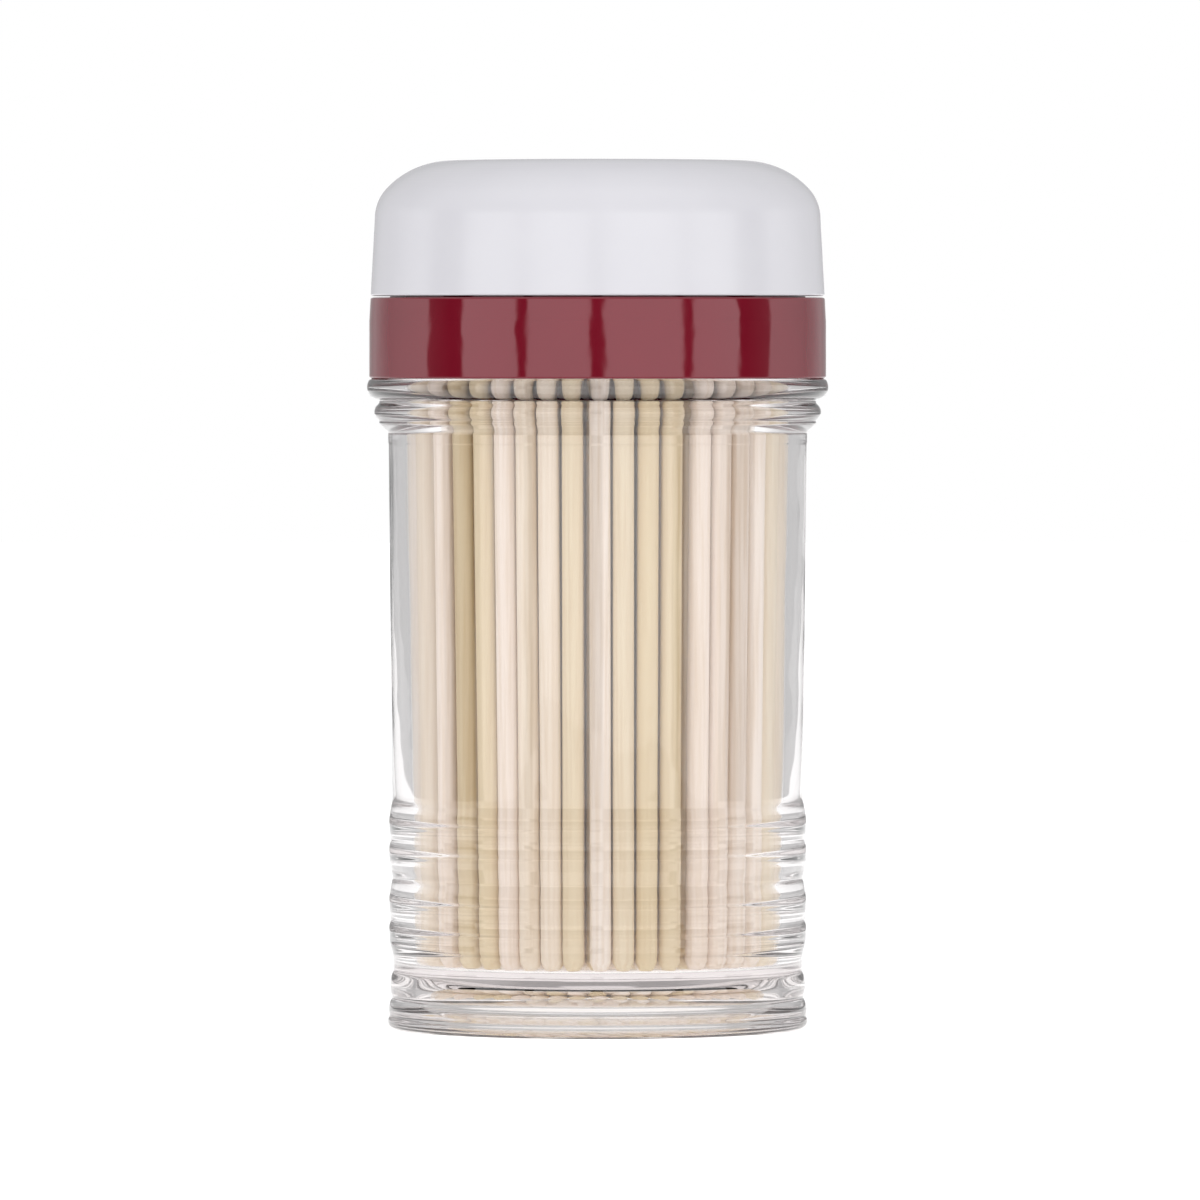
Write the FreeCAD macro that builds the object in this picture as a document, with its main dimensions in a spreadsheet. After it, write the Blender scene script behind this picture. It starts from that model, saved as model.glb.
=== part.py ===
"""Clear twist-top toothpick dispenser: ribbed jar, collar with a deck, turning cap and wooden picks.

Millimetres, +Z up. The origin is on the table, on the jar's axis. The front faces -Y.
"""

import FreeCAD, Part
import math
import os
import random

import Sketcher

SIZES = {
    # Picks, which set the jar's height
    "pick_radius": 1.05,
    "pick_length": 65.0,
    "pick_point_length": 7.0,
    "pick_point_radius": 0.25,
    "pick_butt_length": 1.6,
    "pick_butt_radius": 0.6,
    "pick_play": 0.1,
    "pick_ring_gap": 0.05,
    # Jar, outside
    "jar_foot_radius": 20.85,
    "jar_shoulder_radius": 21.45,
    "shoulder_flare": 0.95,
    "shoulder_rise": 1.1,
    "shoulder_below_seat": 5.6,
    # Jar, where the collar sits: the seat is this far below the picks' points
    "seat_below_points": 4.85,
    "neck_step": 0.1,
    "neck_rise": 6.25,
    # Jar, inside
    "floor_height": 6.5,
    "floor_thickness": 1.9,
    "floor_rounding": 0.5,
    "foot_wall": 2.15,
    "neck_wall": 1.7,
    "skirt_wall": 1.8,
    "recess_taper": 1.6,
    # Ring beads: reach of each crest past the wall, its height and its section's radius
    "rib_radius": 8.0,
    "rib_reach": 0.56,
    "lowest_rib_radius": 3.2,
    "lowest_rib_reach": 0.46,
    "rib_a_height": 21.0,
    "rib_b_height": 18.0,
    "rib_c_height": 13.0,
    "rib_d_height": 10.0,
    "rib_e_height": 4.5,
    "foot_edge_radius": 0.8,
    "foot_edge_reach": 0.69,
    "foot_bead_radius": 2.0,
    "foot_bead_reach": 0.6,
    "low_bead_radius": 1.0,
    "low_bead_reach": 1.45,
    "low_bead_below_seat": 3.45,
    "high_bead_radius": 1.35,
    "high_bead_reach": 2.2,
    "high_bead_below_seat": 0.9,
    # Collar
    "push_fit": 0.1,
    "collar_wall": 1.77,
    "collar_taper": 0.12,
    "collar_taper_height": 2.4,
    "headroom": 0.3,
    "deck_thickness": 1.7,
    "ring_gap": 0.55,
    "ring_wall": 1.2,
    "ring_rise": 1.9,
    # Snap post between collar and cap
    "post_radius": 2.0,
    "post_rise": 4.3,
    "head_overhang": 0.5,
    "head_land": 1.0,
    "head_lead": 1.4,
    "post_slot_half": 0.45,
    # Dispensing hole and stops
    "hole_play": 0.75,
    "hole_inset": 2.1,
    "stop_radius": 1.0,
    "stop_rise": 1.6,
    "stop_gap": 0.1,
    # Cap
    "seam_gap": 0.15,
    "seam_step": 0.05,
    "cap_height": 13.85,
    "cap_draft_degrees": 3.0,
    "cap_corner_run": 8.15,
    "cap_side_radius": 4.5,
    "cap_wall": 1.4,
    "running_gap": 0.3,
    "chute_wall": 1.1,
    "socket_wall": 1.2,
    "mouth_bevel": 0.4,
}

# Heights and radii that several pieces share, as formulas in the sizes above
SEAT = "floor_height + pick_length - seat_below_points"
RIM = f"{SEAT} + neck_rise"
NECK_RADIUS = "jar_shoulder_radius + neck_step"
CAVITY_FLOOR_RADIUS = "jar_foot_radius - foot_wall"
CAVITY_RIM_RADIUS = f"{NECK_RADIUS} - neck_wall"
DECK_UNDER = f"{RIM} + headroom"
DECK_TOP = f"{DECK_UNDER} + deck_thickness"
COLLAR_RADIUS = f"{NECK_RADIUS} + push_fit + collar_wall"
CAP_RADIUS = f"{COLLAR_RADIUS} - collar_taper - seam_step"
CAP_RIM = f"{DECK_TOP} + seam_gap"
CAP_TOP = f"{CAP_RIM} + cap_height"
CAP_FLAT_RADIUS = f"{CAP_RADIUS} - cap_corner_run"
RING_RADIUS = f"{CAP_RADIUS} - cap_wall - ring_gap"
HEAD_UNDER = f"{DECK_TOP} + post_rise"
HEAD_TOP = f"{HEAD_UNDER} + head_land + head_lead"
HOLE_RADIUS = "pick_radius + hole_play"
HOLE_DISTANCE = f"{CAP_FLAT_RADIUS} - hole_inset"

# The cap turns this far, from closed with its hole at the front to open over the deck's hole
TURN_ANGLE = 90.0
CHUTE_ANGLE = -90.0
HOLE_ANGLE = CHUTE_ANGLE + TURN_ANGLE

# How the picks stand: rings of them, how full each ring is, how uneven and how much they lean
PICK_RINGS = 8
RING_FILL = 0.9
UNEVEN = 2.5
LEAN_SHARE = 0.22
CLOSEST = 1.01
SEED = 11

doc = FreeCAD.newDocument("toothpick_dispenser")
sheet = doc.addObject("Spreadsheet::Sheet", "sizes")
for row, (alias, value) in enumerate(SIZES.items(), start=1):
    sheet.set(f"A{row}", alias)
    sheet.set(f"B{row}", str(value))
    sheet.setAlias(f"B{row}", alias)
doc.recompute()


def size(alias):
    """One driving dimension, read back from the sheet."""
    return float(getattr(sheet, alias))


def bound(formula):
    """A formula in the sheet's aliases, written as the expression that a property is bound to."""
    words = []
    for word in formula.replace("(", " ( ").replace(")", " ) ").split():
        words.append(f"sizes.{word}" if word in SIZES else word)
    return " ".join(words)


def value_of(formula):
    """The same formula, worked out with today's values, to place geometry before it is constrained."""
    total = 0.0
    sign = 1.0
    for word in formula.split():
        if word in "+-":
            sign = 1.0 if word == "+" else -1.0
            continue
        number = size(word) if word in SIZES else float(word)
        total += sign * number
    return total


def origin_plane(body, role):
    """One of the body's own origin planes."""
    return next(item for item in body.Origin.OriginFeatures if item.Role == role)


def new_body(name):
    """An empty body whose label is the node's name."""
    body = doc.addObject("PartDesign::Body", name)
    body.Label = name
    return body


def new_sketch(body, name, role="XZ_Plane", height=None):
    """A sketch on one of the body's origin planes, raised by a formula if one is given."""
    sketch = body.newObject("Sketcher::SketchObject", name)
    sketch.AttachmentSupport = [(origin_plane(body, role), "")]
    sketch.MapMode = "FlatFace"
    if height:
        sketch.setExpression("AttachmentOffset.Base.z", bound(height))
    return sketch


def pin_point(sketch, curve, end, across, up):
    """Fixes one end of a curve at (across, up), both formulas in the sheet's sizes."""
    for formula, kind, axis in ((across, "DistanceX", -2), (up, "DistanceY", -1)):
        if value_of(formula) == 0:
            sketch.addConstraint(Sketcher.Constraint("PointOnObject", curve, end, axis))
            continue
        number = sketch.addConstraint(Sketcher.Constraint(kind, -1, 1, curve, end, value_of(formula)))
        sketch.setExpression(f"Constraints[{number}]", bound(formula))


def draw_outline(sketch, corners):
    """A closed outline of straight lines through corners given as (across, up) formulas."""
    spots = [FreeCAD.Vector(value_of(across), value_of(up), 0) for across, up in corners]
    ends = spots[1:] + spots[:1]
    lines = [sketch.addGeometry(Part.LineSegment(a, b)) for a, b in zip(spots, ends)]
    for line, following in zip(lines, lines[1:] + lines[:1]):
        sketch.addConstraint(Sketcher.Constraint("Coincident", line, 2, following, 1))
    for line, (across, up) in zip(lines, corners):
        pin_point(sketch, line, 1, across, up)


def spin(body, sketch, name, kind="PartDesign::Revolution"):
    """Turns a sketch once about the jar's axis, adding to the body or cutting from it."""
    feature = body.newObject(kind, name)
    feature.Profile = sketch
    feature.ReferenceAxis = (sketch, ["V_Axis"])
    feature.Angle = 360
    sketch.Visibility = False
    return feature


def turned(body, name, corners, kind="PartDesign::Revolution"):
    """A turned solid or a turned cut with a straight-sided section."""
    sketch = new_sketch(body, f"{name}_section")
    draw_outline(sketch, corners)
    return spin(body, sketch, name, kind)


def add_bead(body, name, crest, arc, height):
    """A ring of round section around the axis, with its crest at the given radius and height."""
    bead = body.newObject("PartDesign::AdditiveTorus", name)
    bead.AttachmentSupport = [(origin_plane(body, "XY_Plane"), "")]
    bead.MapMode = "FlatFace"
    bead.setExpression("Radius1", bound(f"{crest} - {arc}"))
    bead.setExpression("Radius2", bound(arc))
    bead.setExpression("AttachmentOffset.Base.z", bound(height))
    return bead


def add_disc(body, name, radius, distance, angle, height, length, kind="PartDesign::Pad"):
    """A round boss or hole standing on a height, at a distance and angle from the axis."""
    sketch = new_sketch(body, f"{name}_circle", "XY_Plane", height)
    spot = FreeCAD.Vector(distance * math.cos(math.radians(angle)), distance * math.sin(math.radians(angle)), 0)
    circle = sketch.addGeometry(Part.Circle(spot, FreeCAD.Vector(0, 0, 1), value_of(radius)))
    number = sketch.addConstraint(Sketcher.Constraint("Radius", circle, value_of(radius)))
    sketch.setExpression(f"Constraints[{number}]", bound(radius))
    sketch.addConstraint(Sketcher.Constraint("DistanceX", -1, 1, circle, 3, spot.x))
    sketch.addConstraint(Sketcher.Constraint("DistanceY", -1, 1, circle, 3, spot.y))
    feature = body.newObject(kind, name)
    feature.Profile = sketch
    feature.setExpression("Length", bound(length))
    if kind == "PartDesign::Pocket":
        feature.Reversed = True
    sketch.Visibility = False
    return feature


def ring_edges(shape, radius, height, slack=0.02):
    """Names of the round edges of a shape that lie at one radius from the axis and one height."""
    names = []
    for number, edge in enumerate(shape.Edges, start=1):
        middle = edge.valueAt(edge.FirstParameter)
        at_radius = abs(math.hypot(middle.x, middle.y) - radius) < slack
        if at_radius and abs(middle.z - height) < slack:
            names.append(f"Edge{number}")
    return names


def round_ring(body, base, name, radius, height, rounding, kind="PartDesign::Fillet"):
    """Rounds or bevels the ring edges of a feature found at one radius and height."""
    doc.recompute()
    feature = body.newObject(kind, name)
    feature.Base = (base, ring_edges(base.Shape, value_of(radius), value_of(height)))
    target = "Radius" if kind == "PartDesign::Fillet" else "Size"
    feature.setExpression(target, bound(rounding))
    return feature


def dome_section(sketch, rim_radius, rim_height, flat_radius, side_arc, top):
    """Half the cap's section: a drafted side, a corner of two arcs and a flat top, closed along the axis."""
    slope = math.tan(math.radians(size("cap_draft_degrees")))
    rim = FreeCAD.Vector(value_of(rim_radius), value_of(rim_height), 0)
    crown = value_of(top)
    flat = value_of(flat_radius)
    side = value_of(side_arc)
    corner_height = crown - side - size("cap_wall")
    corner = FreeCAD.Vector(rim.x - slope * (corner_height - rim.y), corner_height, 0)
    side_centre = corner - FreeCAD.Vector(side, 0, 0)
    across = side_centre.x - flat
    drop = crown - side_centre.y
    over = (across**2 + drop**2 - side**2) / (2 * (drop - side))
    over_centre = FreeCAD.Vector(flat, crown - over, 0)
    turn = math.atan2(side_centre.y - over_centre.y, across)
    up = FreeCAD.Vector(0, 0, 1)
    axis_foot = FreeCAD.Vector(0, rim.y, 0)
    axis_top = FreeCAD.Vector(0, crown, 0)
    flat_end = FreeCAD.Vector(flat, crown, 0)
    wall = sketch.addGeometry(Part.LineSegment(rim, corner))
    low = sketch.addGeometry(Part.ArcOfCircle(Part.Circle(side_centre, up, side), 0, turn))
    high = sketch.addGeometry(Part.ArcOfCircle(Part.Circle(over_centre, up, over), turn, math.pi / 2))
    roof = sketch.addGeometry(Part.LineSegment(flat_end, axis_top))
    axis = sketch.addGeometry(Part.LineSegment(axis_top, axis_foot))
    sill = sketch.addGeometry(Part.LineSegment(axis_foot, rim))
    sketch.addConstraint(Sketcher.Constraint("Tangent", wall, 2, low, 1))
    sketch.addConstraint(Sketcher.Constraint("Tangent", low, 2, high, 1))
    sketch.addConstraint(Sketcher.Constraint("Tangent", high, 2, roof, 1))
    sketch.addConstraint(Sketcher.Constraint("Coincident", roof, 2, axis, 1))
    sketch.addConstraint(Sketcher.Constraint("Coincident", axis, 2, sill, 1))
    sketch.addConstraint(Sketcher.Constraint("Coincident", sill, 2, wall, 1))
    pin_point(sketch, wall, 1, rim_radius, rim_height)
    pin_point(sketch, roof, 1, flat_radius, top)
    sketch.addConstraint(Sketcher.Constraint("Horizontal", roof))
    sketch.addConstraint(Sketcher.Constraint("Horizontal", sill))
    sketch.addConstraint(Sketcher.Constraint("PointOnObject", axis, 1, -2))
    sketch.addConstraint(Sketcher.Constraint("PointOnObject", axis, 2, -2))
    number = sketch.addConstraint(Sketcher.Constraint("Radius", low, side))
    sketch.setExpression(f"Constraints[{number}]", bound(side_arc))
    lean = math.radians(90 + size("cap_draft_degrees"))
    number = sketch.addConstraint(Sketcher.Constraint("Angle", wall, lean))
    sketch.setExpression(f"Constraints[{number}]", "90 + sizes.cap_draft_degrees")


def build_jar():
    """Clear jar: drafted wall with ring beads, neck and seat for the collar, smooth cavity, hollow foot."""
    jar = new_body("jar")
    turned(jar, "jar_wall", [
        ("0", "0"),
        ("jar_foot_radius", "0"),
        ("jar_shoulder_radius", f"{SEAT} - shoulder_below_seat"),
        ("jar_shoulder_radius + shoulder_flare", f"{SEAT} - shoulder_below_seat + shoulder_rise"),
        ("jar_shoulder_radius + shoulder_flare", RIM),
        ("0", RIM),
    ])
    for letter in "abcd":
        add_bead(jar, f"rib_{letter}", "jar_foot_radius + rib_reach", "rib_radius", f"rib_{letter}_height")
    add_bead(jar, "rib_e", "jar_foot_radius + lowest_rib_reach", "lowest_rib_radius", "rib_e_height")
    for bead in ("foot_edge", "foot_bead"):
        add_bead(jar, bead, f"jar_foot_radius + {bead}_reach", f"{bead}_radius", f"{bead}_radius")
    for bead in ("low_bead", "high_bead"):
        add_bead(jar, bead, f"jar_shoulder_radius + {bead}_reach", f"{bead}_radius", f"{SEAT} - {bead}_below_seat")
    past_bead = "jar_shoulder_radius + high_bead_reach + high_bead_radius"
    turned(jar, "neck_turned_down", [
        (NECK_RADIUS, SEAT),
        (past_bead, SEAT),
        (past_bead, RIM),
        (NECK_RADIUS, RIM),
    ], "PartDesign::Groove")
    cavity = turned(jar, "cavity", [
        ("0", "floor_height"),
        (CAVITY_FLOOR_RADIUS, "floor_height"),
        (CAVITY_RIM_RADIUS, RIM),
        ("0", RIM),
    ], "PartDesign::Groove")
    round_ring(jar, cavity, "floor_corner", CAVITY_FLOOR_RADIUS, "floor_height", "floor_rounding")
    turned(jar, "foot_recess", [
        ("0", "0"),
        ("jar_foot_radius - skirt_wall", "0"),
        ("jar_foot_radius - skirt_wall - recess_taper", "floor_height - floor_thickness"),
        ("0", "floor_height - floor_thickness"),
    ], "PartDesign::Groove")
    return jar


def build_collar():
    """Maroon collar: push-on skirt, deck with one hole, locating ring, split snap post and stop pins."""
    collar = new_body("collar")
    turned(collar, "collar_shell", [
        ("0", DECK_UNDER),
        (f"{NECK_RADIUS} + push_fit", DECK_UNDER),
        (f"{NECK_RADIUS} + push_fit", SEAT),
        (COLLAR_RADIUS, SEAT),
        (COLLAR_RADIUS, f"{DECK_TOP} - collar_taper_height"),
        (f"{COLLAR_RADIUS} - collar_taper", DECK_TOP),
        (RING_RADIUS, DECK_TOP),
        (RING_RADIUS, f"{DECK_TOP} + ring_rise"),
        (f"{RING_RADIUS} - ring_wall", f"{DECK_TOP} + ring_rise"),
        (f"{RING_RADIUS} - ring_wall", DECK_TOP),
        ("post_radius", DECK_TOP),
        ("post_radius", HEAD_UNDER),
        ("post_radius + head_overhang", HEAD_UNDER),
        ("post_radius + head_overhang", f"{HEAD_UNDER} + head_land"),
        ("post_radius - head_overhang", HEAD_TOP),
        ("0", HEAD_TOP),
    ])
    slot = new_sketch(collar, "post_split_section", "XZ_Plane")
    draw_outline(slot, [
        ("0 - post_slot_half", f"{DECK_TOP} + post_slot_half"),
        ("post_slot_half", f"{DECK_TOP} + post_slot_half"),
        ("post_slot_half", f"{HEAD_TOP} + post_slot_half"),
        ("0 - post_slot_half", f"{HEAD_TOP} + post_slot_half"),
    ])
    split = collar.newObject("PartDesign::Pocket", "post_split")
    split.Profile = slot
    split.Midplane = True
    split.setExpression("Length", bound("post_radius + post_radius + head_overhang + head_overhang + running_gap"))
    distance = value_of(HOLE_DISTANCE)
    add_disc(collar, "dispensing_hole", HOLE_RADIUS, distance, HOLE_ANGLE,
             DECK_UNDER, "deck_thickness", "PartDesign::Pocket")
    reach = value_of(f"{HOLE_RADIUS} + chute_wall + stop_radius + stop_gap")
    swing = 2 * math.degrees(math.asin(reach / (2 * distance)))
    for name, angle in (("stop_closed", CHUTE_ANGLE - swing), ("stop_open", HOLE_ANGLE + swing)):
        add_disc(collar, name, "stop_radius", distance, angle, DECK_TOP, "stop_rise")
    return collar


def build_cap():
    """White cap: domed shell with a hole in its top, the chute below the hole and the snap socket."""
    cap = new_body("cap")
    outside = new_sketch(cap, "dome_outside")
    dome_section(outside, CAP_RADIUS, CAP_RIM, CAP_FLAT_RADIUS, "cap_side_radius", CAP_TOP)
    spin(cap, outside, "dome")
    inside = new_sketch(cap, "dome_inside")
    dome_section(inside, f"{CAP_RADIUS} - cap_wall", CAP_RIM, CAP_FLAT_RADIUS,
                 "cap_side_radius - cap_wall", f"{CAP_TOP} - cap_wall")
    spin(cap, inside, "hollow", "PartDesign::Groove")
    foot = f"{DECK_TOP} + running_gap"
    rise = "seam_gap + cap_height - running_gap - cap_wall / 2"
    distance = value_of(HOLE_DISTANCE)
    add_disc(cap, "chute", f"{HOLE_RADIUS} + chute_wall", distance, CHUTE_ANGLE, foot, rise)
    bore = "post_radius + head_overhang + running_gap"
    add_disc(cap, "socket", f"{bore} + socket_wall", 0, 0, foot, rise)
    turned(cap, "socket_bore", [
        ("0", foot),
        ("post_radius + running_gap", foot),
        ("post_radius + running_gap", f"{HEAD_UNDER} - running_gap"),
        (bore, f"{HEAD_UNDER} - running_gap"),
        (bore, f"{HEAD_TOP} + running_gap"),
        ("0", f"{HEAD_TOP} + running_gap"),
    ], "PartDesign::Groove")
    mouth = add_disc(cap, "mouth", HOLE_RADIUS, distance, CHUTE_ANGLE,
                     foot, "seam_gap + cap_height - running_gap", "PartDesign::Pocket")
    bevel_mouth(cap, mouth)
    return cap


def bevel_mouth(cap, mouth):
    """Bevels the edge of the hole in the flat top, so that a pick slides out easily."""
    doc.recompute()
    crown = value_of(CAP_TOP)
    flat = value_of(CAP_FLAT_RADIUS)
    names = []
    for number, edge in enumerate(mouth.Shape.Edges, start=1):
        spot = edge.valueAt(edge.FirstParameter)
        if abs(spot.z - crown) < 0.01 and 0.1 < math.hypot(spot.x, spot.y) < flat - 0.01:
            names.append(f"Edge{number}")
    bevel = cap.newObject("PartDesign::Chamfer", "mouth_bevel_cut")
    bevel.Base = (mouth, names)
    bevel.setExpression("Size", bound("mouth_bevel"))


def pick_solid():
    """One wooden pick upright on the origin: a short blunt butt, a round shank and a long point."""
    radius = size("pick_radius")
    length = size("pick_length")
    outline = [
        (0, 0),
        (size("pick_butt_radius"), 0),
        (radius, size("pick_butt_length")),
        (radius, length - size("pick_point_length")),
        (size("pick_point_radius"), length),
        (0, length),
        (0, 0),
    ]
    section = Part.Face(Part.makePolygon([FreeCAD.Vector(across, 0, up) for across, up in outline]))
    return section.revolve(FreeCAD.Vector(0, 0, 0), FreeCAD.Vector(0, 0, 1), 360)


def uneven_turns(shares, least, start):
    """Angles around a ring that keep a least spacing and give out the spare angle by shares."""
    spare = 2 * math.pi - least * len(shares)
    whole = sum(shares)
    turns = [start]
    for share in shares[:-1]:
        turns.append(turns[-1] + least + spare * share / whole)
    return turns


def ring_of_picks(pick, radius, count, splay, chooser):
    """Picks standing in one ring, unevenly spaced and leaning a little, none touching another."""
    least = 2 * math.asin(min(1.0, size("pick_radius") * CLOSEST / radius)) if count > 1 else 0
    feet = [chooser.random() ** UNEVEN for _ in range(count)]
    tops = [(1 - LEAN_SHARE) * foot + LEAN_SHARE * chooser.random() ** UNEVEN for foot in feet]
    start = chooser.random() * 2 * math.pi
    low = uneven_turns(feet, least, start)
    high = uneven_turns(tops, least, start)
    drift = sum(b - a for a, b in zip(low, high)) / count
    solids = []
    for a, b in zip(low, high):
        foot = radius * FreeCAD.Vector(math.cos(a), math.sin(a), 0)
        far = (radius + splay) * FreeCAD.Vector(math.cos(b - drift), math.sin(b - drift), 0)
        lean = (far - foot).Length / size("pick_length")
        foot.z = size("floor_height") + size("pick_butt_radius") * lean
        along = far - FreeCAD.Vector(foot.x, foot.y, -size("pick_length"))
        turn = FreeCAD.Rotation(FreeCAD.Vector(0, 0, 1), along)
        solid = pick.copy()
        solid.Placement = FreeCAD.Placement(foot, turn)
        solids.append(solid)
    return solids


def build_picks():
    """Fills the cavity with picks: each one of the outer ring is a node, each inner ring is one node."""
    chooser = random.Random(SEED)
    pick = pick_solid()
    widening = value_of(CAVITY_RIM_RADIUS) - value_of(CAVITY_FLOOR_RADIUS)
    splay = widening * size("pick_length") / (value_of(RIM) - size("floor_height"))
    outer = value_of(f"{CAVITY_FLOOR_RADIUS} - pick_radius - pick_play")
    nodes = []
    for ring in range(PICK_RINGS):
        radius = outer - ring * value_of("pick_radius + pick_radius + pick_ring_gap")
        room = 2 * math.pi * radius / (2 * size("pick_radius") * CLOSEST)
        solids = ring_of_picks(pick, radius, int(room * RING_FILL), splay * radius / outer, chooser)
        if ring == 0:
            for number, solid in enumerate(solids, start=1):
                nodes.append((f"pick_{number:02d}", solid))
        else:
            nodes.append((f"picks_ring_{ring + 1}", Part.makeCompound(solids)))
    for name, shape in nodes:
        node = doc.addObject("Part::Feature", name)
        node.Label = name
        node.Shape = shape
    return nodes


def failed_objects():
    """Names of the objects that did not come out right."""
    bad = [item.Name for item in doc.Objects if "Invalid" in item.State or "Error" in item.State]
    for item in sub_parts:
        if item.Shape.isNull() or not item.Shape.isValid() or not item.Shape.Solids:
            bad.append(item.Label)
    return bad


sub_parts = [build_jar(), build_collar(), build_cap()]
build_picks()
doc.recompute()
sub_parts += [item for item in doc.Objects if item.TypeId == "Part::Feature"]
failures = failed_objects()
if failures:
    raise SystemExit(f"these did not build: {failures}")

os.makedirs("parts", exist_ok=True)
for item in sub_parts:
    item.Shape.exportStep(f"parts/{item.Label}.step")
    print(item.Label, len(item.Shape.Solids), round(item.Shape.Volume, 2))
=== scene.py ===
"""Toothpick dispenser: a clear ribbed jar of birch picks under a maroon collar and a white twist cap."""

import math
import random

import bpy
import numpy as np
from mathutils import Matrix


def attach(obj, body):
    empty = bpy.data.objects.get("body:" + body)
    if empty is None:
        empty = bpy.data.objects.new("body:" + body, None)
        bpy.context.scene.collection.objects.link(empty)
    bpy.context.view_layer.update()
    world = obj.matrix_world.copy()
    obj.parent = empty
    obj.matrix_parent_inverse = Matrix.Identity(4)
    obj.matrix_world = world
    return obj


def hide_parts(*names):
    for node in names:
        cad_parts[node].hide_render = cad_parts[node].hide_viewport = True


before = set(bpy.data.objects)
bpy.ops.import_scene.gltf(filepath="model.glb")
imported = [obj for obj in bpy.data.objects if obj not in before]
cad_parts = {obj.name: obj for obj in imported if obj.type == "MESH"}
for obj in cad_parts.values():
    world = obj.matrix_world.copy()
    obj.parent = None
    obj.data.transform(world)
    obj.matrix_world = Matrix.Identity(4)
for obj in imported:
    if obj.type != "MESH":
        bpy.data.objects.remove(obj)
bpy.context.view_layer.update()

MM = 0.001


# Jar. The real one is injection moulded in clear polystyrene and polished by its mould. Five ring ribs
# run round it low down, two beads round its neck, and its floor is raised over an open recess.

def to_mesh(name, points, faces):
    """A smooth-shaded mesh object at the origin from an array of points and a list of face arrays."""
    mesh = bpy.data.meshes.new(name)
    mesh.from_pydata(points.tolist(), [], [face for group in faces for face in group.tolist()])
    mesh.update()
    mesh.shade_smooth()
    piece = bpy.data.objects.new(name, mesh)
    bpy.context.scene.collection.objects.link(piece)
    return piece


def ring_stack(rows, steps, loop=False):
    """Points and faces of circles stacked along Z and joined by bands of four-sided faces.

    Each row is (centre x, centre y, radius, height). Point j of a row is its centre plus its radius
    times (cos, sin) of j / steps of a turn. A row of no radius is one point, joined by triangles.
    With loop, the last row joins the first, which closes a tube.
    """
    turn = np.arange(steps) * 2 * math.pi / steps
    column = np.arange(steps)
    following = (column + 1) % steps
    points, starts, count = [], [], 0
    for x, y, radius, height in rows:
        starts.append(count)
        if radius > 0:
            across = x + radius * np.cos(turn)
            along = y + radius * np.sin(turn)
            spots = np.stack([across, along, np.full(steps, height)], 1)
        else:
            spots = np.array([[x, y, height]])
        points.append(spots)
        count += len(spots)
    pairs = list(zip(range(len(rows)), range(1, len(rows)))) + ([(len(rows) - 1, 0)] if loop else [])
    quads, corners = [], []
    for low, high in pairs:
        a, b = starts[low], starts[high]
        if rows[low][2] > 0 and rows[high][2] > 0:
            quads.append(np.stack([a + column, a + following, b + following, b + column], 1))
        elif rows[low][2] > 0:
            corners.append(np.stack([a + column, a + following, np.full(steps, b)], 1))
        else:
            corners.append(np.stack([np.full(steps, a), b + following, b + column], 1))
    faces = [np.concatenate(group) for group in (quads, corners) if group]
    return np.concatenate(points), faces


def braced(rows, reach, loop=False):
    """The same rows with one more row close to each end of every long step, so that flats shade flat."""
    rows = [np.array(row, float) for row in rows]
    pairs = list(zip(rows, rows[1:])) + ([(rows[-1], rows[0])] if loop else [])
    result = []
    for low, high in pairs:
        result.append(low)
        length = np.linalg.norm(high - low)
        if length > 5 * reach:
            result += [low + (high - low) * reach / length, high - (high - low) * reach / length]
    return result if loop else result + [rows[-1]]


def joined(*surfaces):
    """Several (points, faces) surfaces put together as one, each still closed by itself."""
    points, groups, count = [], [], 0
    for spots, faces in surfaces:
        groups += [face + count for face in faces]
        points.append(spots)
        count += len(spots)
    return np.concatenate(points), groups


def concentric(profile):
    """Rows of circles about the jar's axis from (radius, height) points."""
    return [(0, 0, radius, height) for radius, height in profile]


def soft_highest(curves, blend):
    """The highest of several curves, with each crossing rounded over about the blend length."""
    stack = np.stack(curves) / blend
    top = stack.max(0)
    return blend * (top + np.log(np.exp(stack - top).sum(0)))


def bead(height, crest, round_radius, at):
    """Outline of a ring bead: the outer arc of a circle, and far inside the wall away from it."""
    off = (height - at) / round_radius
    arc = crest - round_radius + round_radius * np.sqrt(np.clip(1 - off**2, 0, 1))
    return np.where(np.abs(off) < 1, arc, crest - 2 * round_radius)


def quarter(centre, radius, start, end, steps):
    """Points of a round corner: an arc about a centre in the (radius, height) plane, angles in degrees."""
    angle = np.radians(np.linspace(start, end, steps))
    return np.stack([centre[0] + radius * np.cos(angle), centre[1] + radius * np.sin(angle)], 1)


JAR_FOOT_RADIUS = 20.85 * MM
JAR_SHOULDER_RADIUS = 21.45 * MM
SHOULDER_HEIGHT = 61.05 * MM
SEAT_HEIGHT = 66.65 * MM
NECK_ROOT_RADIUS = 22.4 * MM
NECK_RADIUS = 21.55 * MM
RIM_HEIGHT = 72.9 * MM
FLOOR_HEIGHT = 6.5 * MM
RECESS_HEIGHT = 4.6 * MM
CAVITY_FLOOR_RADIUS = 18.7 * MM
CAVITY_RIM_RADIUS = 19.85 * MM
RECESS_MOUTH_RADIUS = 19.05 * MM
RECESS_ROOT_RADIUS = 17.45 * MM
JAR_STEPS = 224
BRACE = 0.06 * MM

# Height, crest radius and section radius of each ring bead
FOOT_BEADS = [(0.8, 21.54, 0.8), (2.0, 21.45, 2.0)]
RIBS = [(4.5, 21.31, 3.2), (10.0, 21.41, 8.0), (13.0, 21.41, 8.0), (18.0, 21.41, 8.0), (21.0, 21.41, 8.0)]
NECK_BEADS = [(63.2, 22.9, 1.0), (65.75, 23.65, 1.35)]
BLEND = 0.045 * MM
SHOULDER_BLEND = 0.01 * MM
SHOULDER_LEAD = 1 * MM

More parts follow.
